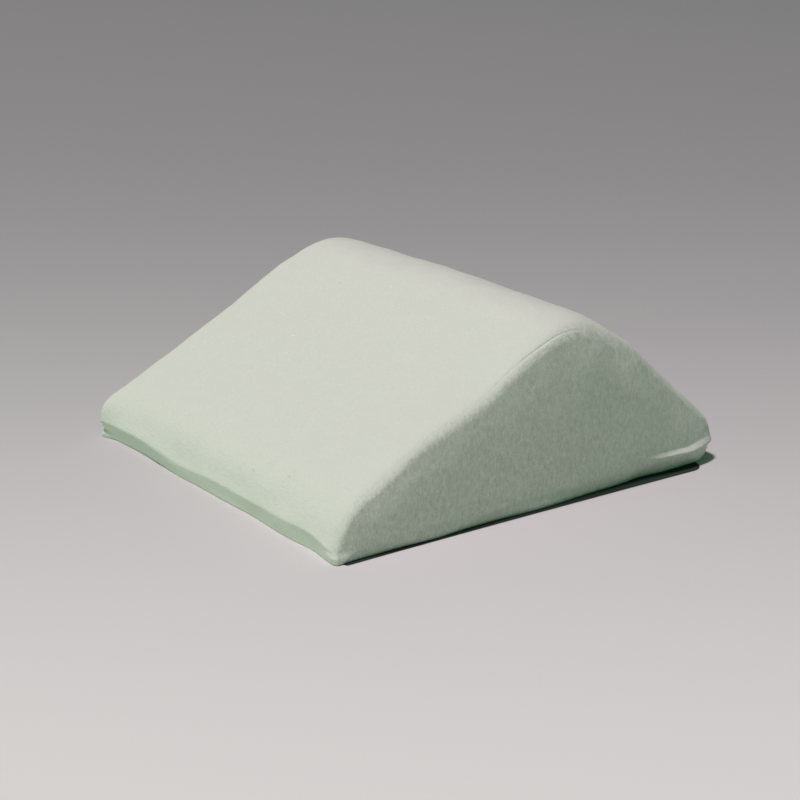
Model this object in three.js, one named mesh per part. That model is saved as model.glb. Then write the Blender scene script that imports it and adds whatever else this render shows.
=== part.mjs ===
// A wedge-shaped memory foam cushion in a tight, soft knit cover, lying on its flat base.
// Millimetres, +Z up. X runs along the crest, the long slope falls towards -Y, and the origin is
// the centre of the base.
import * as THREE from "three";

// Driving dimensions.
const WIDTH = 503; // along the crest
const DEPTH = 550; // from the front lip to the back
const LIP_HEIGHT = 22.8; // floor to the seam along the front lip
const BACK_HEIGHT = 43; // floor to where the short slope would meet the back
const APEX_HEIGHT = 217; // where the two slopes would meet without the crest's rounding
const CREST_Y = 68.7; // the crest lies behind the middle
const TOP_CROWN = 4.5; // how far the slopes rise between the two ends
const END_CROWN = 5; // how far each end face bulges
const RIM_RADIUS = 13; // rounding of the edge between slopes and end faces

const FRONT = -DEPTH / 2;
const BACK = DEPTH / 2;
const RIM_X = WIDTH / 2 - END_CROWN;

// The section across the cushion, counterclockwise seen from +X, before its corners are rounded.
// radius rounds the corner with arcSteps points. inset and edgeSteps belong to the edge that
// follows: how far the rim draws that edge in, and how many steps it has.
const OUTLINE = [
  { name: "bottom front", y: FRONT + 5, z: 0, radius: 4, arcSteps: 4, inset: 0.8, edgeSteps: 24 },
  { name: "bottom back", y: BACK - 10.4, z: 0, radius: 17, arcSteps: 6, inset: 7, edgeSteps: 3 },
  { name: "back top", y: BACK - 1, z: BACK_HEIGHT, radius: 40, arcSteps: 8, inset: 13, edgeSteps: 12 },
  { name: "crest", y: CREST_Y, z: APEX_HEIGHT, radius: 85, arcSteps: 14, inset: 16, edgeSteps: 20 },
  { name: "nose", y: FRONT + 22.6, z: 51.8, radius: 60, arcSteps: 6, inset: 10, edgeSteps: 2 },
  { name: "lip seam", y: FRONT, z: LIP_HEIGHT, radius: 7, arcSteps: 4, inset: 6, edgeSteps: 3 },
];
const LEAST_RADIUS = 1.5; // a drawn-in corner never gets sharper than this

// Rings along X: between the rims, around each rim, and from each rim in to the end's middle.
const SIDE_STEPS = 10; // for each half, closer together towards the rim
const RIM_STEPS = 5;
const RIM_TURN = THREE.MathUtils.degToRad(80); // the end's crown turns the rest of the way
const CAP_RINGS = [0.2, 0.4, 0.57, 0.75, 0.9]; // share of the way to the end's middle line
const CAP_LINE = { front: -205, back: 218, z: 30 };
const CAP_MIDDLE = { y: 50, z: 38 };

// Places where the top stands proud (lift above 0) or sinks in, as soft round hills seen from
// above. At reachX or reachY from its middle a hill has fallen to about a third.
const HILLS = [
  { name: "crest end, near", x: 252, y: 66, reachX: 24, reachY: 62, lift: -8.5 },
  { name: "crest end, far", x: -252, y: 62, reachX: 30, reachY: 62, lift: -3.3 },
  { name: "hollow in the near rim", x: 250, y: -72, reachX: 70, reachY: 42, lift: -7.2 },
  { name: "swell in the near rim", x: 250, y: -160, reachX: 60, reachY: 36, lift: 3 },
  { name: "swell in the far rim, high", x: -250, y: -8, reachX: 40, reachY: 20, lift: 1.6 },
  { name: "hollow in the far rim", x: -250, y: -84, reachX: 40, reachY: 22, lift: -2.6 },
  { name: "swell in the far rim, low", x: -250, y: -145, reachX: 40, reachY: 18, lift: 1.2 },
  { name: "full far corner", x: -250, y: -262, reachX: 40, reachY: 26, lift: 5 },
];

// Places along a low edge where the cover stands out (out above 0) or is drawn in. at is the
// place along the edge, and top is the height above the floor where the wave has died away.
const FOOT_WAVES = [
  { name: "front, between the corners", edge: "front", at: 0, reach: 190, out: -4, top: 14 },
  { name: "front, far wave in", edge: "front", at: -165, reach: 55, out: -3.5, top: 14 },
  { name: "front, middle wave in", edge: "front", at: 85, reach: 40, out: -3, top: 14 },
  { name: "front, near wave in", edge: "front", at: 190, reach: 24, out: -3, top: 14 },
  { name: "near end, wave in", edge: "near", at: 155, reach: 26, out: -4, top: 16 },
  { name: "near end, wave out", edge: "near", at: 45, reach: 34, out: 2.5, top: 16 },
  { name: "far end, wave in", edge: "far", at: -60, reach: 120, out: -3, top: 14 },
  { name: "back, between the corners", edge: "back", at: 0, reach: 150, out: -3, top: 16 },
];

// Swells and hollows of the seam along the front lip.
const LIP_WAVES = [
  { name: "low stretch", x: -55, reach: 62, lift: -3 },
  { name: "high stretch", x: 190, reach: 50, lift: 3 },
];
const SEAM_REACH = 14; // how far above and below the seam its waves are felt

// Bands in which these changes fade in: from is none of it, to is all of it.
const ABOVE_FLOOR = { from: 2, to: 40 }; // height, for the hills
const SEAM_FLOOR = { from: 1, to: 12 }; // height, for the seam's waves
const SEAM_FRONT = { from: 40, to: 14 }; // behind the lip
const EDGE_BAND = { from: 30, to: 8 }; // in from an end or from the front or back

// The small ears that the cover's seams leave at the corners of the base.
const EARS = [
  { name: "far front", x: -WIDTH / 2, y: FRONT, reach: 17, top: 17, out: 3.5 },
  { name: "near front", x: WIDTH / 2, y: FRONT, reach: 22, top: 16, out: 3.5 },
  { name: "far back", x: -WIDTH / 2, y: BACK, reach: 20, top: 18, out: 3 },
];

// The pinched fold low on the near back corner: a ledge that grows along Y towards the corner,
// falls away over rise above its edge, and has the cover tucked in below it.
const FOLD = { start: 165, full: 250, edge: 17, rise: 8, out: 6, tuck: 12, wrapFrom: 175, wrapTo: 242 };
const FOLD_ENDS = { out: 1, tuck: 1, from: 30, to: 2 }; // on the near end, in from its edge
const FOLD_BACK = { out: 0.5, tuck: 0.6, from: 40, to: 14 }; // around the corner, on the back

const smooth = (from, to, value) => THREE.MathUtils.smoothstep(value, from, to);
const fall = (from, to, value) => 1 - smooth(from, to, value);
const hill = (distance, reach) => Math.exp(-((distance / reach) ** 2));
// How far a point lies inside a band that fades in towards an edge, by its distance from the edge.
const inFrom = (distance, { from, to }) => fall(to, from, distance);

// The outline with each edge drawn in by share times its inset, rounded, as THREE.Vector2 (y, z).
function section(share) {
  const count = OUTLINE.length;
  const next = (i) => (i + 1) % count;
  const before = (i) => (i + count - 1) % count;
  const corner = OUTLINE.map(({ y, z }) => new THREE.Vector2(y, z));
  const along = corner.map((p, i) => corner[next(i)].clone().sub(p).normalize());
  const inward = along.map((t) => new THREE.Vector2(-t.y, t.x));
  const moved = corner.map((p, i) => p.clone().addScaledVector(inward[i], OUTLINE[i].inset * share));

  const rounded = OUTLINE.map((row, i) => {
    const a = before(i);
    const gap = moved[i].clone().sub(moved[a]);
    const reach = gap.cross(along[i]) / along[a].cross(along[i]);
    const meet = moved[a].clone().addScaledVector(along[a], reach);
    const turn = Math.acos(along[a].dot(along[i]));
    const drawn = ((OUTLINE[a].inset + row.inset) / 2) * share;
    const radius = Math.max(row.radius - drawn, LEAST_RADIUS);
    const cut = radius * Math.tan(turn / 2);
    const start = meet.clone().addScaledVector(along[a], -cut);
    const end = meet.clone().addScaledVector(along[i], cut);
    return { radius, turn, start, end };
  });

  const points = [];
  OUTLINE.forEach(({ arcSteps, edgeSteps }, i) => {
    const a = before(i);
    const { radius, turn, start, end } = rounded[i];
    const centre = start.clone().addScaledVector(inward[a], radius);
    for (let k = 0; k < arcSteps; k++) {
      const angle = (turn * k) / arcSteps;
      const point = centre.clone().addScaledVector(inward[a], -radius * Math.cos(angle));
      points.push(point.addScaledVector(along[a], radius * Math.sin(angle)));
    }
    const stop = rounded[next(i)].start;
    for (let k = 0; k < edgeSteps; k++) points.push(end.clone().lerp(stop, k / edgeSteps));
  });
  return points;
}

// How near a point is to each low edge, from 0 to 1, with the outward direction and the place
// along the edge.
function edgesAt({ x, y }) {
  return {
    front: { weight: inFrom(BACK + y, EDGE_BAND), axis: "y", sign: -1, along: x },
    back: { weight: inFrom(BACK - y, EDGE_BAND), axis: "y", sign: 1, along: x },
    near: { weight: inFrom(RIM_X - x, EDGE_BAND), axis: "x", sign: 1, along: y },
    far: { weight: inFrom(RIM_X + x, EDGE_BAND), axis: "x", sign: -1, along: y },
  };
}

// Moves a point of the plain rounded wedge to where the soft cover lies. The base stays flat.
function settle(point) {
  const at = point.clone();
  let lift = TOP_CROWN * Math.max(1 - (at.x / RIM_X) ** 2, 0);
  for (const { x, y, reachX, reachY, lift: most } of HILLS) {
    lift += most * hill(at.x - x, reachX) * hill(at.y - y, reachY);
  }
  point.z += lift * smooth(ABOVE_FLOOR.from, ABOVE_FLOOR.to, at.z);

  const atSeam = hill(at.z - LIP_HEIGHT, SEAM_REACH) * smooth(SEAM_FLOOR.from, SEAM_FLOOR.to, at.z);
  const atFront = inFrom(at.y - FRONT, SEAM_FRONT);
  for (const { x, reach, lift: most } of LIP_WAVES) {
    point.z += most * atSeam * atFront * hill(at.x - x, reach);
  }

  const edges = edgesAt(at);
  for (const { edge, at: place, reach, out, top } of FOOT_WAVES) {
    const { weight, axis, sign, along } = edges[edge];
    point[axis] += sign * out * weight * hill(along - place, reach) * fall(0, top, at.z);
  }

  for (const { x, y, reach, top, out } of EARS) {
    const amount = out * hill(Math.hypot(at.x - x, at.y - y), reach) * fall(top / 2, top, at.z);
    point.x += Math.sign(x) * amount;
    point.y += Math.sign(y) * amount;
  }

  const grown = smooth(FOLD.start, FOLD.full, at.y) * smooth(FOLD.wrapFrom, FOLD.wrapTo, at.x);
  const below = smooth(0, FOLD.edge, at.z);
  const ledge = FOLD.out * grown * fall(FOLD.edge, FOLD.edge + FOLD.rise, at.z) * below ** 2;
  const tuck = FOLD.tuck * grown * (1 - below);
  point.x += (FOLD_ENDS.out * ledge - FOLD_ENDS.tuck * tuck) * inFrom(RIM_X - at.x, FOLD_ENDS);
  point.y += (FOLD_BACK.out * ledge - FOLD_BACK.tuck * tuck) * inFrom(BACK - at.y, FOLD_BACK);
  return point;
}

// One ring of points at a station along X. shrink draws the ring towards the end's middle line.
function ring({ x, share, shrink }) {
  return section(share).map((q) => {
    const goal = THREE.MathUtils.clamp(q.x, CAP_LINE.front, CAP_LINE.back);
    const y = THREE.MathUtils.lerp(q.x, goal, shrink);
    const z = THREE.MathUtils.lerp(q.y, CAP_LINE.z, shrink);
    return settle(new THREE.Vector3(x, y, z));
  });
}

// The stations from the middle out to the end, for the +X half.
function halfStations() {
  const stations = [];
  const flat = RIM_X - RIM_RADIUS;
  for (let k = 0; k <= SIDE_STEPS; k++) {
    const x = flat * Math.sin((k / SIDE_STEPS) * (Math.PI / 2)) ** 0.9;
    stations.push({ x, share: 0, shrink: 0 });
  }
  for (let k = 1; k <= RIM_STEPS; k++) {
    const turn = (RIM_TURN * k) / RIM_STEPS;
    stations.push({ x: flat + RIM_RADIUS * Math.sin(turn), share: 1 - Math.cos(turn), shrink: 0 });
  }
  const rim = stations[stations.length - 1];
  for (const shrink of CAP_RINGS) {
    stations.push({ x: rim.x + END_CROWN * (1 - (1 - shrink) ** 2), share: rim.share, shrink });
  }
  return stations;
}

function cushionGeometry() {
  const half = halfStations();
  const mirrored = half.slice(1).map((station) => ({ ...station, x: -station.x }));
  const rings = [...mirrored.reverse(), ...half].map(ring);
  const around = rings[0].length;
  const endX = half[half.length - 1].x;
  const positions = rings.flat();
  const middles = [-endX, endX].map((x) => new THREE.Vector3(x, CAP_MIDDLE.y, CAP_MIDDLE.z));
  const farMiddle = positions.push(middles[0]) - 1;
  const nearMiddle = positions.push(middles[1]) - 1;

  const index = [];
  for (let j = 0; j < around; j++) {
    const j2 = (j + 1) % around;
    for (let i = 0; i < rings.length - 1; i++) {
      const a = i * around;
      const b = a + around;
      index.push(a + j, a + j2, b + j2, a + j, b + j2, b + j);
    }
    const end = (rings.length - 1) * around;
    index.push(farMiddle, j2, j, nearMiddle, end + j, end + j2);
  }
  const geometry = new THREE.BufferGeometry().setFromPoints(positions);
  geometry.setIndex(index);
  geometry.computeVertexNormals();
  return geometry;
}

const knit = new THREE.MeshStandardMaterial({ color: 0xd6dacb, roughness: 0.95, metalness: 0 });
const cushion = new THREE.Mesh(cushionGeometry(), knit);
cushion.name = "cushion";

const part = new THREE.Group();
part.add(cushion);
export default part;
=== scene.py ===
"""A wedge-shaped foam cushion in a tight, soft knit cover, on a plain pale floor.

The cover is one closed surface of rings along X, made in millimetres from nearly the same named sizes
as the solid that it stands for, and then carried into the frame, which is in metres.
"""
import math

import bpy
import numpy as np
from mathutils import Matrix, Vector


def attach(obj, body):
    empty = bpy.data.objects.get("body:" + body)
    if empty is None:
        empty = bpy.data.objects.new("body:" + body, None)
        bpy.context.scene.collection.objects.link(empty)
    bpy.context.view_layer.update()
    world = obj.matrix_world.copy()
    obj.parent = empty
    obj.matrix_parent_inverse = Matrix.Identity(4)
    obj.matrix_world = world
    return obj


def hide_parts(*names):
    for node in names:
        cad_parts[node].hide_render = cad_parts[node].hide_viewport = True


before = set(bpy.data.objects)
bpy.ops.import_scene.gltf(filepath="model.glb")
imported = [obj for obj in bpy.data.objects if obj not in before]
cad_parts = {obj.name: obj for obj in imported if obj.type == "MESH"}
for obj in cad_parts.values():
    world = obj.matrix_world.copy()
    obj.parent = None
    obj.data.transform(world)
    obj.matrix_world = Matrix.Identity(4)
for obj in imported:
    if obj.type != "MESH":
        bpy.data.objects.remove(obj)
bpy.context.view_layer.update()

# Driving dimensions, in millimetres
WIDTH = 503
DEPTH = 550
LIP_HEIGHT = 18.5
BACK_HEIGHT = 43
APEX_HEIGHT = 217
CREST_Y = 68.7
TOP_CROWN = 4.5
END_CROWN = 5
RIM_RADIUS = 16

FRONT = -DEPTH / 2
BACK = DEPTH / 2
RIM_X = WIDTH / 2 - END_CROWN
FLAT_X = RIM_X - RIM_RADIUS
MM = 0.001

# The section across the cushion, counterclockwise seen from +X, before its corners are rounded
OUTLINE = [
    dict(name="bottom front", y=FRONT + 10, z=0, radius=1.6, arc=6, inset=0.8, edge=44),
    dict(name="bottom back", y=BACK - 10.4, z=0, radius=17, arc=8, inset=7, edge=8),
    dict(name="back top", y=BACK - 0.4, z=BACK_HEIGHT + 1, radius=40, arc=12, inset=15, edge=50),
    dict(name="crest", y=CREST_Y, z=APEX_HEIGHT, radius=85, arc=34, inset=12.2, edge=78),
    dict(name="nose", y=FRONT + 31, z=55.4, radius=85, arc=10, inset=10, edge=10),
    dict(name="lip seam", y=FRONT + 7.5, z=LIP_HEIGHT, radius=5, arc=10, inset=6, edge=10),
]
LEAST_RADIUS = 1.5

# Rings along X: between the rims, around each rim, and in to the end's middle line
SIDE_STEPS = 84
SIDE_EASE = 0.35
RIM_STEPS = 30
RIM_TURN = math.radians(80)
CAP_STEPS = 34
CAP_LINE = dict(front=-205, back=218, z=30)
CAP_END = 0.97

# Hills and hollows of the top, seen from above: middle, reach and lift
HILLS = [
    dict(name="crest end, near", x=252, y=66, reach_x=24, reach_y=62, lift=-7.5),
    dict(name="crest end, far", x=-252, y=62, reach_x=30, reach_y=62, lift=-3.3),
    dict(name="hollow in the near rim", x=250, y=-72, reach_x=70, reach_y=42, lift=-7.2),
    dict(name="swell in the near rim", x=250, y=-160, reach_x=60, reach_y=36, lift=3),
    dict(name="crest end, far, high", x=-250, y=70, reach_x=40, reach_y=40, lift=2),
    dict(name="swell in the far rim, high", x=-250, y=20, reach_x=40, reach_y=40, lift=1.2),
    dict(name="hollow in the far rim, low", x=-250, y=-104, reach_x=40, reach_y=22, lift=-1.1),
    dict(name="low stretch of the far rim", x=-250, y=-185, reach_x=40, reach_y=60, lift=-1.2),
    dict(name="hollow along the crest", x=-80, y=66, reach_x=55, reach_y=60, lift=-1.8),
    dict(name="swell along the crest", x=145, y=66, reach_x=50, reach_y=60, lift=1.3),
    dict(name="full far corner", x=-250, y=-262, reach_x=40, reach_y=28, lift=6),
    dict(name="full back of the near crest end", x=250, y=140, reach_x=32, reach_y=28, lift=8),
    dict(name="just behind the top of the near crest end", x=250, y=95, reach_x=24, reach_y=16, lift=-3.5),
]

# Waves along the low edges, outward above 0, dying away at the height top
FOOT_WAVES = [
    dict(name="front, between the corners", edge="front", at=0, reach=190, out=-2.5, top=60),
    dict(name="front, far wave in", edge="front", at=-165, reach=55, out=-3, top=26),
    dict(name="front, middle wave in", edge="front", at=85, reach=40, out=-2, top=40),
    dict(name="front, near wave in", edge="front", at=196, reach=26, out=-3.5, top=40),
    dict(name="front, wave out", edge="front", at=-70, reach=30, out=1.5, top=26),
    dict(name="near end, all along", edge="near", at=-10, reach=400, out=2.4, top=20),
    dict(name="near end, front wave out", edge="near", at=-140, reach=32, out=2.6, top=20),
    dict(name="near end, wave in", edge="near", at=155, reach=26, out=-4, top=16),
    dict(name="near end, wave out", edge="near", at=8, reach=48, out=3.4, top=18),
    dict(name="far end, wave in", edge="far", at=-60, reach=120, out=-3, top=14),
    dict(name="back, between the corners", edge="back", at=0, reach=150, out=-3, top=16),
]

# Swells and hollows of the seam along the front lip
LIP_WAVES = [
    dict(name="far stretch", x=-165, reach=40, lift=1.2),
    dict(name="low stretch", x=-60, reach=52, lift=-4),
    dict(name="middle stretch", x=60, reach=45, lift=-1.2),
    dict(name="high stretch", x=180, reach=44, lift=1.8),
    dict(name="near corner", x=245, reach=26, lift=-4),
]
SEAM_REACH = 14

# Bands in which the changes of form fade in: the first number is where there is none, the second all
ABOVE_FLOOR = (2, 40)
SEAM_FLOOR = (1, 12)
SEAM_FRONT = (40, 14)
EDGE_BAND = (30, 8)

# Small ears and full places at the low corners; rise and fall are the heights where each comes and goes
SIDE = WIDTH / 2
FROM_FLOOR = (-2, -1)
EARS = [
    dict(name="far front", x=-SIDE, y=FRONT, reach=20, rise=FROM_FLOOR, fall=(3, 10), out_x=2, out_y=-13),
    dict(name="near front", x=SIDE, y=FRONT, reach=18, rise=FROM_FLOOR, fall=(8, 16), out_x=3.5, out_y=-5),
    dict(name="far back", x=-SIDE, y=BACK, reach=20, rise=FROM_FLOOR, fall=(9, 18), out_x=-3, out_y=3),
    dict(name="far, full", x=-SIDE, y=FRONT, reach=30, rise=(2, 40), fall=(44, 62), out_x=-1, out_y=-21),
]

# The pinched fold low on the near back corner: its ledge, its height along y, and the cover tucked in below
FOLD = dict(start=156, full=180, wrap=(175, 242), under=2, out=5, ease=(248, 0.6))
FOLD_HEIGHT = 21
FOLD_CHANGES = [
    dict(name="dips on the end", start=180, stop=225, lift=-1.5),
    dict(name="rises to its tip", start=215, stop=BACK, lift=3.4),
]
TUCK = dict(start=150, full=235, depth=2)
FOLD_END = dict(out=1, tuck=1, over=(5, 10), band=(30, 2))
FOLD_BACK = dict(out=0, tuck=3.6, over=(24, 24), band=(40, 14))

# The foot of each end curls in under the cushion
CURL = dict(height=5, depth=0.8, band=(28, 0))

# The seam between the top panel and each end panel, by its turn around the rim
SEAM_TURN = math.radians(34.5)
SEAM = dict(depth=1.4, half=0.85, side=0.05, side_at=2.2, floor=(6, 14))
SEAM_CLEAR = dict(y=4, reach=38, rest=0.06)
SEAM_DROP = dict(y=85, reach=60, walk=5.5)
SEAM_WANDER = dict(share=0.5, size=60, count=8, seed=21)
SEAM_PUCKER = dict(share=0.22, size=6, count=16, seed=34)
SEAM_RIDGE = dict(at=3.4, half=2, height=0.12)

# The rims are fuller below the seam along the front slope, and slump to a soft shoulder at the crest
RIM_FULL = dict(y=-150, reach=95, at=8, half=4.5, height=0.3)
SHOULDER = dict(y=85, reach=66, depth=6.5, turn=math.radians(66), fall=48, ramp=(60, 16), ends=(40, 110))

# All of the near rim, not only its crest, leans in by at least this
NEAR_LEAN = 2.5

# Uneven lie of the cover, each row one size of wave, and the band above the floor in which it fades in
LUMPS_FLOOR = (1, 12)
LUMPS = [
    dict(name="broad swells", share=0.5, size=110, count=14, seed=3),
    dict(name="small dents", share=0.16, size=38, count=18, seed=5),
    dict(name="puckers", share=0.05, size=14, count=24, seed=8),
]
WAVE_SPREAD = (0.7, 1.4)


def smooth(start, stop, value):
    """Eases from 0 at start to 1 at stop."""
    t = np.clip((value - start) / (stop - start), 0, 1)
    return t * t * (3 - 2 * t)


def hill(distance, reach):
    """A soft round hill that has fallen to about a third at its reach."""
    return np.exp(-((distance / reach) ** 2))


def cross(a, b):
    return a[0] * b[1] - a[1] * b[0]


def section(share):
    """The outline with each edge drawn in by share times its inset, as rows of y and z."""
    count = len(OUTLINE)
    corner = np.array([[row["y"], row["z"]] for row in OUTLINE], float)
    inset = np.array([row["inset"] for row in OUTLINE])
    along = np.roll(corner, -1, axis=0) - corner
    along /= np.linalg.norm(along, axis=1)[:, None]
    inward = np.stack([-along[:, 1], along[:, 0]], axis=1)
    moved = corner + inward * (inset * share)[:, None]
    rounded = []
    for i, row in enumerate(OUTLINE):
        reach = cross(moved[i] - moved[i - 1], along[i]) / cross(along[i - 1], along[i])
        meet = moved[i - 1] + along[i - 1] * reach
        turn = math.acos(along[i - 1] @ along[i])
        radius = max(row["radius"] - (inset[i - 1] + inset[i]) / 2 * share, LEAST_RADIUS)
        cut = radius * math.tan(turn / 2)
        rounded.append((radius, turn, meet - along[i - 1] * cut, meet + along[i] * cut))
    points = []
    for i, row in enumerate(OUTLINE):
        radius, turn, start, end = rounded[i]
        centre = start + inward[i - 1] * radius
        for angle in turn * np.arange(row["arc"]) / row["arc"]:
            step = along[i - 1] * math.sin(angle) - inward[i - 1] * math.cos(angle)
            points.append(centre + step * radius)
        stop = rounded[(i + 1) % count][2]
        for part in np.arange(row["edge"]) / row["edge"]:
            points.append(end + (stop - end) * part)
    return np.array(points)


def in_from(distance, band):
    """1 near an edge, fading out over a band given as the distances of none and of all."""
    return 1 - smooth(band[1], band[0], distance)


def lift_top(points, out):
    """The crown of the top, its hills and its hollows."""
    x, y, z = points.T
    lift = TOP_CROWN * np.maximum(1 - (x / RIM_X) ** 2, 0)
    for row in HILLS:
        lift += row["lift"] * hill(x - row["x"], row["reach_x"]) * hill(y - row["y"], row["reach_y"])
    out[:, 2] += lift * smooth(*ABOVE_FLOOR, z)


def lift_lip(points, out):
    """The seam above the front lip, not quite level."""
    x, y, z = points.T
    at_seam = hill(z - LIP_HEIGHT, SEAM_REACH) * smooth(*SEAM_FLOOR, z) * in_from(y - FRONT, SEAM_FRONT)
    for row in LIP_WAVES:
        out[:, 2] += row["lift"] * at_seam * hill(x - row["x"], row["reach"])


def wave_feet(points, out):
    """The low edges in soft waves."""
    x, y, z = points.T
    edges = {
        "front": (in_from(BACK + y, EDGE_BAND), 1, -1, x),
        "back": (in_from(BACK - y, EDGE_BAND), 1, 1, x),
        "near": (in_from(RIM_X - x, EDGE_BAND), 0, 1, y),
        "far": (in_from(RIM_X + x, EDGE_BAND), 0, -1, y),
    }
    for row in FOOT_WAVES:
        weight, axis, sign, along = edges[row["edge"]]
        wave = hill(along - row["at"], row["reach"]) * (1 - smooth(0, row["top"], z))
        out[:, axis] += sign * row["out"] * weight * wave


def pull_ears(points, out):
    """The corners of the cover where it stands off the foam."""
    x, y, z = points.T
    for row in EARS:
        near = hill(np.hypot(x - row["x"], y - row["y"]), row["reach"])
        amount = near * smooth(*row["rise"], z) * (1 - smooth(*row["fall"], z))
        out[:, 0] += row["out_x"] * amount
        out[:, 1] += row["out_y"] * amount


def tucked_share(points):
    """How much of the tuck below the fold there is at each point."""
    return smooth(TUCK["start"], TUCK["full"], points[:, 1]) * smooth(*FOLD["wrap"], points[:, 0])


def add_fold(points, out):
    """The ledge of the pinched fold pushed out, and the cover below it tucked in."""
    x, y, z = points.T
    edge = np.full(len(points), float(FOLD_HEIGHT))
    for row in FOLD_CHANGES:
        edge += row["lift"] * smooth(row["start"], row["stop"], y)
    grown = smooth(FOLD["start"], FOLD["full"], y) * smooth(*FOLD["wrap"], x)
    eased = 1 - FOLD["ease"][1] * smooth(FOLD["ease"][0], BACK, y)
    ledge = FOLD["out"] * eased * grown * smooth(edge - FOLD["under"], edge, z)
    tuck = TUCK["depth"] * tucked_share(points) * (1 - np.clip(z / edge, 0, 1))
    for axis, side, distance in ((0, FOLD_END, RIM_X - x), (1, FOLD_BACK, BACK - y)):
        over = side["over"][0] + (side["over"][1] - side["over"][0]) * smooth(FOLD["start"], BACK, y)
        pushed = side["out"] * ledge * (1 - smooth(edge, edge + over, z))
        out[:, axis] += (pushed - side["tuck"] * tuck) * in_from(distance, side["band"])


def curl_feet(points, out):
    """The foot of each end rolled in, but not where the fold is tucked."""
    x, _, z = points.T
    low = 1 - np.clip(z / CURL["height"], 0, 1)
    untucked = 1 - tucked_share(points)
    curl = CURL["depth"] * (1 - np.sqrt(1 - low**2)) * untucked * in_from(RIM_X - abs(x), CURL["band"])
    out[:, 0] -= np.sign(x) * curl


def settle(points):
    """Moves points of the plain rounded wedge to where the soft cover lies."""
    out = points.copy()
    for change in (lift_top, lift_lip, wave_feet, pull_ears, add_fold, curl_feet):
        change(points, out)
    return out


def stations():
    """Each ring's place along X, share of the rim's inset, way to the middle line, and walk from X 0."""
    half = []
    for k in np.arange(SIDE_STEPS + 1) / SIDE_STEPS:
        x = FLAT_X * ((1 + SIDE_EASE) * k - SIDE_EASE * k * k)
        half.append((x, 0, 0, x))
    for turn in RIM_TURN * np.arange(1, RIM_STEPS + 1) / RIM_STEPS:
        walk = FLAT_X + RIM_RADIUS * turn
        half.append((FLAT_X + RIM_RADIUS * math.sin(turn), 1 - math.cos(turn), 0, walk))
    rim_x, share, _, walk = half[-1]
    for shrink in CAP_END * np.arange(1, CAP_STEPS + 1) / CAP_STEPS:
        x = rim_x + END_CROWN * (1 - (1 - shrink) ** 2)
        half.append((x, share, shrink, walk + CAP_LINE["z"] * shrink))
    return [(-x, share, shrink, -walk) for x, share, shrink, walk in half[:0:-1]] + half


def rings():
    """The cover's points as an array of rings, in millimetres."""
    made = []
    for x, share, shrink, _ in stations():
        ring = section(share)
        goal = np.stack([np.clip(ring[:, 0], CAP_LINE["front"], CAP_LINE["back"]),
                         np.full(len(ring), CAP_LINE["z"])], axis=1)
        ring += (goal - ring) * shrink
        made.append(settle(np.column_stack([np.full(len(ring), x), ring])))
    return np.array(made)


def unit(vectors):
    return vectors / np.maximum(np.linalg.norm(vectors, axis=-1, keepdims=True), 1e-9)


# Shares of the way to an end's middle line over which its normals turn straight out
NEAR_MIDDLE = (0.3, 0.7)


def grid_normals(grid):
    """Outward normals at the points of the rings, straight out of each end near its middle line."""
    across = np.gradient(grid, axis=0)
    around = np.roll(grid, -1, axis=1) - np.roll(grid, 1, axis=1)
    plain = unit(np.cross(around, across))
    outward = np.sign(grid[..., :1]) * np.array([1, 0, 0])
    near_line = smooth(*NEAR_MIDDLE, np.array([row[2] for row in stations()]))[:, None, None]
    return unit(plain + (outward - plain) * near_line)


def waves(points, size, count, seed):
    """Smooth uneven waves in space, a sum of plain waves of about one size in random directions."""
    source = np.random.default_rng(seed)
    total = 0
    for _ in range(count):
        way = unit(source.normal(size=3))
        length = size * source.uniform(*WAVE_SPREAD)
        total = total + np.sin(points @ way * (2 * math.pi / length) + source.uniform(0, 2 * math.pi))
    return total * math.sqrt(2 / count)


def scaled_waves(points, row):
    return row["share"] * waves(points, row["size"], row["count"], row["seed"])


def seam_profile(grid):
    """Height of the cover near the seams: the sewn groove, its soft sides and the turned-in edge."""
    walk = np.array([abs(row[3]) for row in stations()])[:, None]
    y, z = grid[..., 1], grid[..., 2]
    wander = scaled_waves(grid, SEAM_WANDER)
    drop = SEAM_DROP["walk"] * hill(y - SEAM_DROP["y"], SEAM_DROP["reach"])
    past = walk - (FLAT_X + RIM_RADIUS * SEAM_TURN) + wander - drop
    clear = hill(y - SEAM_CLEAR["y"], SEAM_CLEAR["reach"])
    strength = SEAM_CLEAR["rest"] + (1 - SEAM_CLEAR["rest"]) * clear
    strength = strength * (1 + scaled_waves(grid, SEAM_PUCKER))
    groove = -SEAM["depth"] * hill(past, SEAM["half"])
    sides = SEAM["side"] * hill(abs(past) - SEAM["side_at"], 1)
    ridge = SEAM_RIDGE["height"] * clear * hill(past - SEAM_RIDGE["at"], SEAM_RIDGE["half"])
    full = RIM_FULL["height"] * hill(y - RIM_FULL["y"], RIM_FULL["reach"])
    full = full * hill(past - RIM_FULL["at"], RIM_FULL["half"])
    return ((groove + sides) * strength + ridge + full) * smooth(*SEAM["floor"], z)


def shoulder(grid):
    """How far the ends lean in: most at the crest, all of the rim alike, dying away down the end."""
    rows = stations()
    row_at = round((1 - SHOULDER["turn"] / RIM_TURN) * RIM_STEPS) + CAP_STEPS
    x, z = grid[..., 0], grid[..., 2]
    top = np.where(x[:, :1] < 0, z[row_at], z[len(rows) - 1 - row_at])
    down = np.clip((top - z) / SHOULDER["fall"], 0, 1)
    leaned = (1 - down) ** 2 * smooth(*SHOULDER["ends"], top) * in_from(RIM_X - abs(x), SHOULDER["ramp"])
    depth = SHOULDER["depth"] * hill(grid[..., 1] - SHOULDER["y"], SHOULDER["reach"])
    return leaned * np.maximum(depth, np.where(x > 0, NEAR_LEAN, 0))


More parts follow.
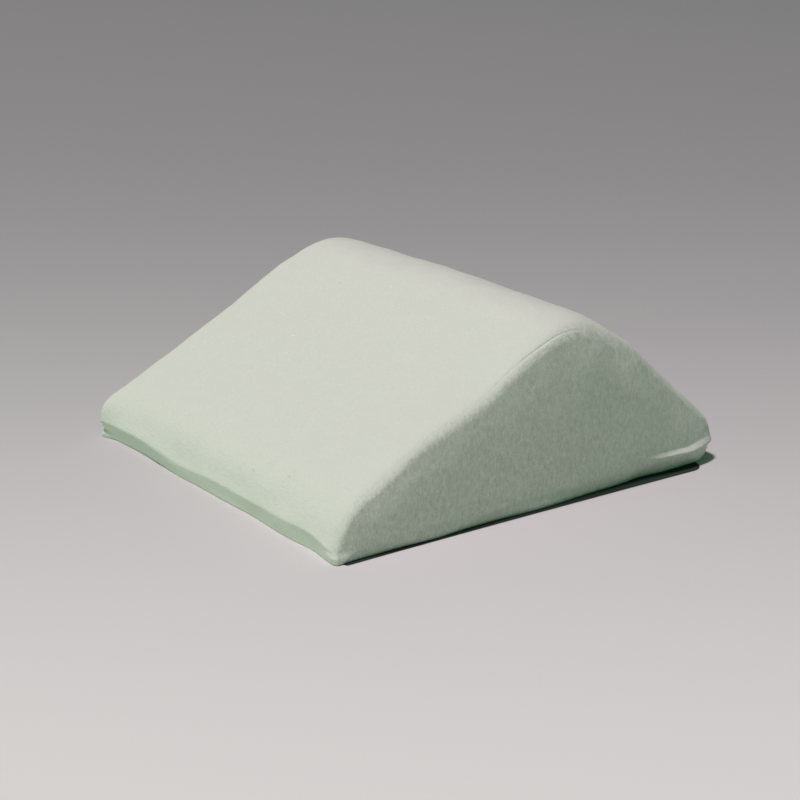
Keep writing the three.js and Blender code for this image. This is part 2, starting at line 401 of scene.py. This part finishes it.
def relief(grid):
    """Moves the rings' points along their normals for the seams and the cover's uneven lie."""
    height = seam_profile(grid)
    off_floor = smooth(*LUMPS_FLOOR, grid[..., 2])
    for row in LUMPS:
        height = height + off_floor * scaled_waves(grid, row)
    moved = grid + grid_normals(grid) * height[..., None]
    moved[..., 0] -= np.sign(grid[..., 0]) * shoulder(grid) * off_floor
    return moved


def end_filling(ring):
    """Triangles between the lower and the upper half of an end's last ring, zipped from front to back."""
    back = OUTLINE[0]["arc"] + OUTLINE[0]["edge"] + OUTLINE[1]["arc"] // 2
    lower = list(range(back + 1))
    upper = [0, *range(len(ring) - 1, back - 1, -1)]
    triangles = []
    i = j = 0
    while i < len(lower) - 1 or j < len(upper) - 1:
        lower_next = ring[lower[min(i + 1, len(lower) - 1)], 1]
        upper_next = ring[upper[min(j + 1, len(upper) - 1)], 1]
        step_lower = j == len(upper) - 1 or (i < len(lower) - 1 and lower_next <= upper_next)
        if step_lower:
            triangle = (lower[i], lower[i + 1], upper[j])
            i += 1
        else:
            triangle = (lower[i], upper[j + 1], upper[j])
            j += 1
        if len(set(triangle)) == 3:
            triangles.append(triangle)
    return triangles


def cover_mesh(name, grid):
    """The cover as one closed mesh of quads, with its two ends filled by triangles."""
    count, around = grid.shape[:2]
    index = np.arange(count * around).reshape(count, around)
    ahead = np.roll(index, -1, axis=1)
    quads = np.stack([index[:-1], ahead[:-1], ahead[1:], index[1:]], axis=-1).reshape(-1, 4)
    near = [[index[-1][i] for i in triangle] for triangle in end_filling(grid[-1])]
    far = [[index[0][i] for i in triangle[::-1]] for triangle in end_filling(grid[0])]
    faces = quads.tolist() + np.array(near + far).tolist()
    mesh = bpy.data.meshes.new(name)
    mesh.from_pydata((grid.reshape(-1, 3) * MM).tolist(), [], faces)
    mesh.polygons.foreach_set("use_smooth", [True] * len(mesh.polygons))
    return mesh


def add_object(name, mesh):
    piece = bpy.data.objects.new(name, mesh)
    bpy.context.scene.collection.objects.link(piece)
    return piece


# Camera at the photograph's angle
CAMERA_AT = (1.7395, -1.2764, 0.7847)
CAMERA_TURN = 53.78
CAMERA_DIP = 18.62
CAMERA_LENS = 87.01
CAMERA_SENSOR = 36


def add_camera():
    data = bpy.data.cameras.new("camera")
    data.lens = CAMERA_LENS
    data.sensor_width = CAMERA_SENSOR
    camera = add_object("camera", data)
    camera.location = CAMERA_AT
    camera.rotation_euler = (math.radians(90 - CAMERA_DIP), 0, math.radians(CAMERA_TURN))
    bpy.context.scene.camera = camera


# Soft studio lights: place and aim in metres, size of the square panel, power and colour
AIM = (0, 0, 0.1)
LIGHTS = [
    dict(name="key", place=(-0.452, -5.16, 19.42), size=2.7, power=3130, colour=(1, 0.885, 0.95)),
    dict(name="low front", place=(-0.2, -4.9, 0.6), size=1.2, power=44, colour=(0.42, 1, 0.5)),
    dict(name="low right", place=(5, 0.8, 0.6), size=1.2, power=8.5, colour=(0.05, 1, 0.3)),
]
SKY = dict(colour=(0.33, 1, 0.56), strength=0.11)


def add_softbox(name, place, size, power, colour):
    """A square area light at place, turned towards the cushion."""
    data = bpy.data.lights.new(name, "AREA")
    data.size = size
    data.energy = power
    data.color = colour
    lamp = add_object(name, data)
    lamp.location = place
    lamp.rotation_euler = (Vector(AIM) - Vector(place)).to_track_quat("-Z", "Y").to_euler()
    return lamp


def add_lights():
    world = bpy.data.worlds.new("studio")
    world.use_nodes = True
    sky = world.node_tree.nodes["Background"]
    sky.inputs["Color"].default_value = (*SKY["colour"], 1)
    sky.inputs["Strength"].default_value = SKY["strength"]
    bpy.context.scene.world = world
    bpy.context.scene.view_settings.view_transform = "Standard"
    for row in LIGHTS:
        add_softbox(**row)


# The floor's colour darkens with the distance in metres from under the camera: painted shade, standing in
# for light falling off along a long sheet of paper
FLOOR_NEAR = (0.82, 0.78, 0.784)
FLOOR_BACK = (0.33, 0.318, 0.33)
FLOOR_PAINTED_FALLOFF = dict(start=1.3, reach=1.17, power=1.5)
FLOOR_REACH = 12
FLOOR_FINISH = {"Roughness": 0.9, "Specular IOR Level": 0.1}


def add_math(tree, kind, first, second):
    """A maths node of one kind; each value is a socket or a plain number."""
    node = tree.nodes.new("ShaderNodeMath")
    node.operation = kind
    for socket, value in zip(node.inputs, (first, second)):
        if isinstance(value, bpy.types.NodeSocket):
            tree.links.new(value, socket)
        else:
            socket.default_value = value
    return node.outputs[0]


def set_finish(shader, finish):
    for name, value in finish.items():
        shader.inputs[name].default_value = value


def add_painted_falloff_share(tree):
    """The share of the painted falloff of light: 1 on the floor near the camera, falling along a soft curve
    to 0 far behind the cushion.
    """
    place = tree.nodes.new("ShaderNodeTexCoord")
    way = tree.nodes.new("ShaderNodeVectorMath")
    way.operation = "DOT_PRODUCT"
    turn = math.radians(CAMERA_TURN)
    ahead = Vector((-math.sin(turn), math.cos(turn), 0))
    way.inputs[1].default_value = ahead
    tree.links.new(place.outputs["Object"], way.inputs[0])
    start = ahead.dot(Vector(CAMERA_AT)) + FLOOR_PAINTED_FALLOFF["start"]
    beyond = add_math(tree, "SUBTRACT", way.outputs["Value"], start)
    steps = add_math(tree, "MAXIMUM", add_math(tree, "DIVIDE", beyond, FLOOR_PAINTED_FALLOFF["reach"]), 0)
    fall = add_math(tree, "MULTIPLY", add_math(tree, "POWER", steps, FLOOR_PAINTED_FALLOFF["power"]), -1)
    return add_math(tree, "EXPONENT", fall, 0)


def floor_material():
    material = bpy.data.materials.new("pale_floor")
    material.use_nodes = True
    tree = material.node_tree
    painted_falloff_tones = tree.nodes.new("ShaderNodeValToRGB")
    back, near = painted_falloff_tones.color_ramp.elements
    back.color = (*FLOOR_BACK, 1)
    near.color = (*FLOOR_NEAR, 1)
    shader = tree.nodes["Principled BSDF"]
    set_finish(shader, FLOOR_FINISH)
    # Painted shade: the floor's colour is light near the camera and darker far behind the cushion
    tree.links.new(add_painted_falloff_share(tree), painted_falloff_tones.inputs["Fac"])
    tree.links.new(painted_falloff_tones.outputs["Color"], shader.inputs["Base Color"])
    return material


def add_floor():
    mesh = bpy.data.meshes.new("floor")
    reach = FLOOR_REACH
    corners = [(-reach, -reach, 0), (reach, -reach, 0), (reach, reach, 0), (-reach, reach, 0)]
    mesh.from_pydata(corners, [], [(0, 1, 2, 3)])
    mesh.materials.append(floor_material())
    add_object("floor", mesh)


# A painted shadow: a strip of dark sheet on the floor along the foot of the near end, standing in for the
# deep shade there, in millimetres: front and back are where its rounded ends begin, narrow and wide how far
# out it reaches there, and turn where the ends close
SHADE = dict(inner=232, turn=241, front=-253, back=222, narrow=254, wide=265.5, power=1.5)
SHADE_ENDS = dict(front=4, back=21)
SHADE_STEPS = 8
SHADE_LIFT = 0.25
SHADE_COLOUR = (0.034, 0.05, 0.042)
SHADE_FINISH = {"Roughness": 1, "Specular IOR Level": 0}


def shade_line():
    """The strip's outer line: a soft curve that widens to the back, with a quarter ellipse at each end."""
    share = np.arange(SHADE_STEPS + 1) / SHADE_STEPS
    turn = share * math.pi / 2
    side_x = SHADE["narrow"] + (SHADE["wide"] - SHADE["narrow"]) * share ** SHADE["power"]
    side_y = SHADE["front"] + (SHADE["back"] - SHADE["front"]) * share
    front_x = SHADE["turn"] + (SHADE["narrow"] - SHADE["turn"]) * np.sin(turn)
    front_y = SHADE["front"] - SHADE_ENDS["front"] * np.cos(turn)
    back_x = SHADE["turn"] + (SHADE["wide"] - SHADE["turn"]) * np.cos(turn)
    back_y = SHADE["back"] + SHADE_ENDS["back"] * np.sin(turn)
    x = np.concatenate([front_x[:-1], side_x, back_x[1:]])
    y = np.concatenate([front_y[:-1], side_y, back_y[1:]])
    return np.column_stack([x, y]).tolist()


def add_painted_shadow():
    """Painted shadow: a thin dark sheet just above the floor, from under the near end to its outer line."""
    outer = [(x * MM, y * MM, SHADE_LIFT * MM) for x, y in shade_line()]
    inner = [(SHADE["inner"] * MM, y, z) for _, y, z in outer]
    count = len(outer)
    faces = [(i, i + count, i + count + 1, i + 1) for i in range(count - 1)]
    mesh = bpy.data.meshes.new("deep_shade")
    mesh.from_pydata(outer + inner, [], [face[::-1] for face in faces])
    shade = add_object("deep_shade", mesh)
    material = bpy.data.materials.new("deep_shade")
    material.use_nodes = True
    shader = material.node_tree.nodes["Principled BSDF"]
    shader.inputs["Base Color"].default_value = (*SHADE_COLOUR, 1)
    set_finish(shader, SHADE_FINISH)
    mesh.materials.append(material)


# The short-pile knit: the size of each kind of unevenness in millimetres, and its share of the relief
KNIT_COLOUR = (0.727, 0.706, 0.665)
KNIT_RELIEF = 0.75
KNIT_FINISH = {"Roughness": 0.95, "Specular IOR Level": 0.2, "Sheen Weight": 0.1, "Sheen Roughness": 0.6}
NOISE_DETAIL = 2
NOISE_MIDDLE = 0.5
PILE = dict(size=1.7, share=0.5)
LOOP = dict(size=2.1, share=0.3)
TUFT = dict(size=6, share=0.3)
STREAK = dict(across=2.4, down=7, along_x=0.3, share=0.5)
END_FACING = (0.5, 0.9)
MOTTLE = dict(size=26, amount=0.03)
# Painted shade of the pile's relief in the knit's colour: faint on the top, strong on the end panels where
# light falls across the pile
PAINTED_PILE_SHADE = dict(top=0.01, end=0.38)


def add_noise(tree, place, size, detail):
    """Smooth noise with waves of a size in millimetres."""
    node = tree.nodes.new("ShaderNodeTexNoise")
    node.inputs["Scale"].default_value = 1 / (size * MM)
    node.inputs["Detail"].default_value = detail
    tree.links.new(place, node.inputs["Vector"])
    return node.outputs["Fac"]


def add_loops(tree, place, size):
    """Small round loops, high in their middles."""
    node = tree.nodes.new("ShaderNodeTexVoronoi")
    node.inputs["Scale"].default_value = 1 / (size * MM)
    tree.links.new(place, node.inputs["Vector"])
    return add_math(tree, "SUBTRACT", 1, node.outputs["Distance"])


def add_streaks(tree, place):
    """Noise drawn out into upright streaks."""
    stretch = tree.nodes.new("ShaderNodeMapping")
    stretch.inputs["Scale"].default_value = (STREAK["along_x"], 1, STREAK["across"] / STREAK["down"])
    tree.links.new(place, stretch.inputs["Vector"])
    return add_noise(tree, stretch.outputs["Vector"], STREAK["across"], NOISE_DETAIL)


def add_end_share(tree, normal):
    """1 on the end panels, 0 on the top: where the pile's painted shade is strong."""
    facing = tree.nodes.new("ShaderNodeSeparateXYZ")
    tree.links.new(normal, facing.inputs["Vector"])
    share = tree.nodes.new("ShaderNodeMapRange")
    share.inputs["From Min"].default_value, share.inputs["From Max"].default_value = END_FACING
    tree.links.new(add_math(tree, "ABSOLUTE", facing.outputs["X"], 0), share.inputs["Value"])
    return share.outputs["Result"]


def knit_relief(tree, pile, loops, tufts, streaks):
    """The knit's unevenness as a bump."""
    height = add_math(tree, "MULTIPLY", pile, PILE["share"])
    for row, made in ((LOOP, loops), (TUFT, tufts), (STREAK, streaks)):
        height = add_math(tree, "ADD", height, add_math(tree, "MULTIPLY", made, row["share"]))
    bump = tree.nodes.new("ShaderNodeBump")
    bump.inputs["Strength"].default_value = 1
    bump.inputs["Distance"].default_value = KNIT_RELIEF * MM
    tree.links.new(height, bump.inputs["Height"])
    return bump.outputs["Normal"]


def knit_colour(tree, place, pile, tufts, streaks, on_end):
    """The knit's colour: faintly mottled, and flecked with painted shade of its pile, most of all on the end
    panels.
    """
    mottle = add_math(tree, "SUBTRACT", add_noise(tree, place, MOTTLE["size"], detail=1), NOISE_MIDDLE)
    beyond = add_math(tree, "SUBTRACT", tufts, 3 * NOISE_MIDDLE)
    painted_shade = add_math(tree, "ADD", add_math(tree, "ADD", pile, streaks), beyond)
    amount = add_math(tree, "MULTIPLY", on_end, PAINTED_PILE_SHADE["end"] - PAINTED_PILE_SHADE["top"])
    amount = add_math(tree, "ADD", amount, PAINTED_PILE_SHADE["top"])
    mottle_and_painted_shade = add_math(tree, "ADD", 1, add_math(tree, "MULTIPLY", mottle, MOTTLE["amount"]))
    mottle_and_painted_shade = add_math(tree, "ADD", mottle_and_painted_shade, add_math(tree, "MULTIPLY", painted_shade, amount))
    colour = tree.nodes.new("ShaderNodeVectorMath")
    colour.operation = "SCALE"
    colour.inputs[0].default_value = KNIT_COLOUR
    tree.links.new(mottle_and_painted_shade, colour.inputs["Scale"])
    return colour.outputs["Vector"]


def knit_material():
    """A matt short-pile knit: loops, tufts and streaks as relief, and the same pile as painted shade in the
    colour.
    """
    material = bpy.data.materials.new("knit")
    material.use_nodes = True
    tree = material.node_tree
    coordinates = tree.nodes.new("ShaderNodeTexCoord")
    place = coordinates.outputs["Object"]
    pile = add_noise(tree, place, PILE["size"], NOISE_DETAIL)
    loops = add_loops(tree, place, LOOP["size"])
    tufts = add_noise(tree, place, TUFT["size"], NOISE_DETAIL)
    streaks = add_streaks(tree, place)
    on_end = add_end_share(tree, coordinates.outputs["Normal"])
    shader = tree.nodes["Principled BSDF"]
    set_finish(shader, KNIT_FINISH)
    tree.links.new(knit_colour(tree, place, pile, tufts, streaks, on_end), shader.inputs["Base Color"])
    tree.links.new(knit_relief(tree, pile, loops, tufts, streaks), shader.inputs["Normal"])
    return material


# Loose strands of the pile: how many, where they stand, and their form in millimetres
STRANDS = [
    dict(name="all over", count=2200, walk=(0, 262), length=(0.8, 1.8), thick=0.07, lie=0.8, seed=11),
    dict(name="rims", count=2600, walk=(236, 256), length=(1, 2.4), thick=0.08, lie=0.7, seed=12),
    dict(name="under rims", count=2600, walk=(246, 262), length=(1.2, 2.8), thick=0.08, lie=0.9, seed=13),
]
STRAND_FLOOR = 10
STRAND_TURN = 0.7
STRAND_SIDES = 3
STRAND_BENDS = [
    dict(along=0, rise=-0.15, width=1),
    dict(along=0.5, rise=0.42, width=0.8),
    dict(along=1, rise=0.55, width=0.3),
]
DOWN = np.array([0, 0, -1])

# Small tangles of caught pile: place, count and spread, in millimetres
TANGLES = [
    dict(name="high slope", at=(-108, -12, 180), count=8, spread=0.7, length=(1, 2), seed=31),
    dict(name="low slope", at=(74, -255, 49), count=9, spread=0.9, length=(1, 2.2), seed=32),
    dict(name="low, near end", at=(129, -243, 59), count=9, spread=0.9, length=(1, 2.2), seed=33),
    dict(name="seam's end", at=(240, 58, 186), count=44, spread=2, length=(1.4, 3.2), seed=34),
]
TANGLE_THICK = 0.09


def strand_roots(grid, row):
    """Random places on the cover for one kind of strand, with the normal and the downward way at each."""
    source = np.random.default_rng(row["seed"])
    normals = grid_normals(grid)
    downward = unit(DOWN - normals * (normals @ DOWN)[..., None] + 1e-6)
    walk = np.abs([line[3] for line in stations()])
    low, high = row["walk"]
    size = np.linalg.norm(np.roll(grid, -1, axis=1) - grid, axis=2)
    step = np.gradient([line[3] for line in stations()])
    chance = size * step[:, None] * ((walk >= low) & (walk <= high))[:, None] * (grid[..., 2] > STRAND_FLOOR)
    chance = chance.ravel() / chance.sum()
    picked = source.choice(chance.size, row["count"], p=chance)
    jitter = source.uniform(-0.5, 0.5, (row["count"], 2))
    index = np.unravel_index(picked, size.shape)
    along = grid[index[0], (index[1] + 1) % grid.shape[1]] - grid[index]
    across = grid[np.minimum(index[0] + 1, grid.shape[0] - 1), index[1]] - grid[index]
    place = grid[index] + along * jitter[:, :1] + across * jitter[:, 1:]
    return source, place, normals[index], downward[index]


def tangle(grid, row):
    """The strands of one small tangle, lying every way on the cover around its place."""
    source = np.random.default_rng(row["seed"])
    index = np.unravel_index(np.argmin(np.linalg.norm(grid - row["at"], axis=2)), grid.shape[:2])
    normal = np.tile(grid_normals(grid)[index], (row["count"], 1))
    offset = source.normal(0, row["spread"], (row["count"], 3))
    offset -= normal * (offset * normal).sum(axis=1)[:, None]
    way = np.cross(normal, source.normal(size=(row["count"], 3)))
    length = source.uniform(*row["length"], (row["count"], 1))
    return grid[index] + offset - unit(way) * length / 2, normal, unit(way), length, TANGLE_THICK


def strand_mesh(name, groups):
    """All strands as one mesh of thin three-sided tubes, made from arrays."""
    points, faces, offset = [], [], 0
    turns = 2 * math.pi * np.arange(STRAND_SIDES) / STRAND_SIDES
    for place, normal, way, length, thick in groups:
        side = unit(np.cross(normal, way))
        rings_made = []
        for bend in STRAND_BENDS:
            middle = place + way * (length * bend["along"]) + normal * (length * bend["rise"])
            round_it = side[:, None] * np.cos(turns)[:, None] + normal[:, None] * np.sin(turns)[:, None]
            rings_made.append(middle[:, None] + round_it * (thick * bend["width"]))
        made = np.stack(rings_made, axis=1)
        index = offset + np.arange(made.shape[0] * made.shape[1] * STRAND_SIDES).reshape(made.shape[:3])
        ahead = np.roll(index, -1, axis=2)
        quads = np.stack([index[:, :-1], ahead[:, :-1], ahead[:, 1:], index[:, 1:]], axis=-1)
        points.append(made.reshape(-1, 3))
        faces += quads.reshape(-1, 4).tolist()
        faces += index[:, 0, ::-1].tolist() + index[:, -1].tolist()
        offset += made.shape[0] * made.shape[1] * STRAND_SIDES
    mesh = bpy.data.meshes.new(name)
    mesh.from_pydata((np.concatenate(points) * MM).tolist(), [], faces)
    mesh.polygons.foreach_set("use_smooth", [True] * len(mesh.polygons))
    return mesh


def add_strands(grid, knit):
    groups = []
    for row in STRANDS:
        source, place, normal, downward = strand_roots(grid, row)
        turn = source.normal(0, STRAND_TURN, (row["count"], 1))
        way = unit(downward * np.cos(turn) + np.cross(normal, downward) * np.sin(turn))
        length = source.uniform(*row["length"], (row["count"], 1))
        way = unit(way * row["lie"] + normal * (1 - row["lie"]))
        groups.append((place, normal, way, length, row["thick"]))
    for row in TANGLES:
        groups.append(tangle(grid, row))
    mesh = strand_mesh("pile_strands", groups)
    mesh.materials.append(knit)
    dress(add_object("pile_strands", mesh))


def dress(piece):
    """Lets a piece ride on the cushion."""
    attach(piece, "root")
    return piece


def add_cushion():
    grid = relief(rings())
    knit = knit_material()
    mesh = cover_mesh("cushion_cover", grid)
    mesh.materials.append(knit)
    cover = dress(add_object("cushion_cover", mesh))
    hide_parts("cushion")
    add_strands(grid, knit)


add_camera()
add_lights()
add_floor()
add_painted_shadow()
add_cushion()
